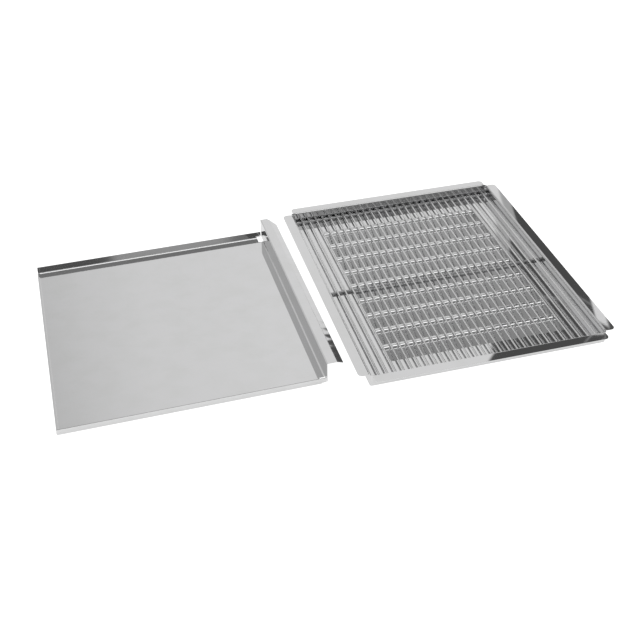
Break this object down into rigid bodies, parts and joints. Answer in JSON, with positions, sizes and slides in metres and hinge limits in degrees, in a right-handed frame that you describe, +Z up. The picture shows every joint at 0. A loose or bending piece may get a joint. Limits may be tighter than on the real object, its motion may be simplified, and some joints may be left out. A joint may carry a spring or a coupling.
{
  "type": "queen excluder",
  "caption": "Flanged stainless pan with a louvred floor and a lift-out grid of parallel round wires, with a shallow pull-out tray that has one tall front plate and a handle.",
  "frame": {"origin": "middle of the whole set, on the surface that it lies on", "axes": "+Z up, +X from the tray towards the wire frame, +Y from the front to the rear, along the wires"},
  "size_m": [0.8472, 0.511, 0.037],
  "materials": {
    "frame_sheet": "polished stainless sheet",
    "louvre_sheet": "polished stainless sheet",
    "wire": "bright drawn stainless wire",
    "cross_rod": "bright drawn stainless rod",
    "tray_sheet": "bright rolled stainless sheet"
  },
  "bodies": {
    "excluder_frame": {"frame_pan": "frame_sheet", "slat_rail_left": "frame_sheet", "slat_rail_right": "frame_sheet", "louvre_slat_01": "louvre_sheet", "louvre_slat_02": "louvre_sheet", "louvre_slat_03": "louvre_sheet", "louvre_slat_04": "louvre_sheet", "louvre_slat_05": "louvre_sheet", "louvre_slat_06": "louvre_sheet", "louvre_slat_07": "louvre_sheet", "louvre_slat_08": "louvre_sheet", "louvre_slat_09": "louvre_sheet"},
    "wire_grid": {"cross_rod_front": "cross_rod", "cross_rod_middle": "cross_rod", "cross_rod_rear": "cross_rod", "wire_01": "wire", "wire_02": "wire", "wire_03": "wire", "wire_04": "wire", "wire_05": "wire", "wire_06": "wire", "wire_07": "wire", "wire_08": "wire", "wire_09": "wire", "wire_10": "wire", "wire_11": "wire", "wire_12": "wire", "wire_13": "wire", "wire_14": "wire", "wire_15": "wire", "wire_16": "wire", "wire_17": "wire", "wire_18": "wire", "wire_19": "wire", "wire_20": "wire", "wire_21": "wire", "wire_22": "wire", "wire_23": "wire", "wire_24": "wire", "wire_25": "wire", "wire_26": "wire", "wire_27": "wire", "wire_28": "wire", "wire_29": "wire"},
    "tray": {"tray_pan": "tray_sheet"}
  },
  "joints": [
    {"name": "grid_lift", "type": "slide", "parent": "excluder_frame", "child": "wire_grid", "axis": [0, 0, 1], "range_m": [0, 0.08]},
    {"name": "tray_slide", "type": "slide", "parent": "excluder_frame", "child": "tray", "axis": [-1, 0, 0], "range_m": [0, 0.3]}
  ]
}
